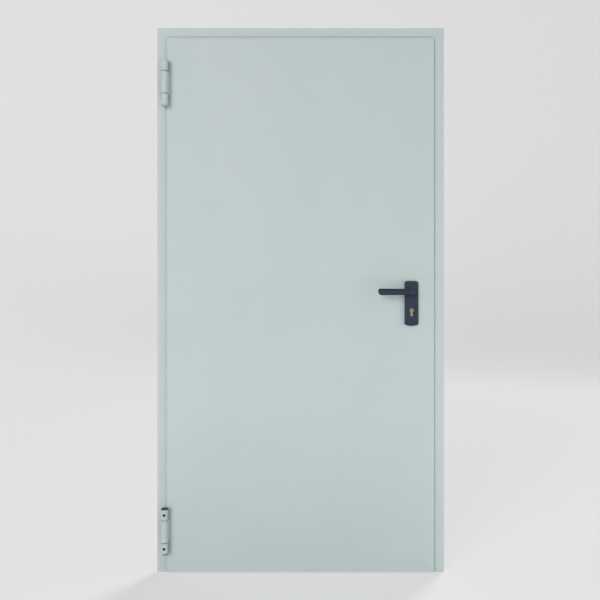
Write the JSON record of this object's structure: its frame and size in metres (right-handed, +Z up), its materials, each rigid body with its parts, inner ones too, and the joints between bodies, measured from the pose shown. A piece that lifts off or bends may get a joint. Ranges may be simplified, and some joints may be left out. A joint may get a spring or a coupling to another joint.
{
  "type": "steel utility door with frame",
  "caption": "Single-leaf steel utility door with an overlapping lip, hung on knuckle hinges in a folded steel frame, with a plastic lever handle set and a profile cylinder lock.",
  "frame": {"origin": "below the hinge axis at floor level, on the back of the hinge jamb's flange, which bears on the wall face", "axes": "+X from the hinge side to the lock side, +Y into the wall, +Z up"},
  "size_m": [1.072, 0.1714, 2.035],
  "materials": {
    "door_paint": "light grey-green paint",
    "zinc_steel": "galvanised",
    "faceplate_steel": "satin",
    "seal_rubber": "matt black",
    "handle_plastic": "blue-black satin",
    "cylinder_brass": "dull satin",
    "honeycomb_board": "matt"
  },
  "bodies": {
    "frame": {"hinge_jamb": "door_paint", "lock_jamb": "door_paint", "frame_head": "door_paint", "hinge_side_stop": "door_paint", "lock_side_stop": "door_paint", "head_stop": "door_paint", "strike_box": "zinc_steel", "hinge_side_seal": "seal_rubber", "lock_side_seal": "seal_rubber", "head_seal": "seal_rubber", "upper_hinge_frame_knuckles": "door_paint", "upper_hinge_rings": "faceplate_steel", "upper_hinge_pin": "faceplate_steel", "lower_hinge_frame_knuckles": "door_paint", "lower_hinge_rings": "faceplate_steel", "lower_hinge_pin": "faceplate_steel", "upper_hinge_caps": "door_paint", "lower_hinge_caps": "handle_plastic"},
    "leaf": {"leaf_front_sheet": "door_paint", "leaf_back_tray": "door_paint", "leaf_bottom_channel": "zinc_steel", "leaf_core": "honeycomb_board", "lock_case": "zinc_steel", "lock_faceplate": "faceplate_steel", "latch_bolt": "faceplate_steel", "dead_bolt": "faceplate_steel", "profile_cylinder": "cylinder_brass", "cylinder_plugs": "cylinder_brass", "outer_handle_plate": "handle_plastic", "inner_handle_plate": "handle_plastic", "upper_hinge_leaf_knuckle": "door_paint", "lower_hinge_leaf_knuckle": "door_paint"},
    "handle": {"outer_lever": "handle_plastic", "inner_lever": "handle_plastic", "spindle": "zinc_steel"}
  },
  "joints": [
    {"name": "leaf_swing", "type": "hinge", "parent": "frame", "child": "leaf", "pos_m": [0, -0.03, 0], "axis": [0, 0, -1], "range_deg": [0, 170]},
    {"name": "lever_turn", "type": "hinge", "parent": "leaf", "child": "handle", "pos_m": [0.916, 0.0105, 1.047], "axis": [0, -1, 0], "range_deg": [0, 40], "stiffness_Nm_per_rad": 0.9, "springref_deg": -40.11}
  ]
}
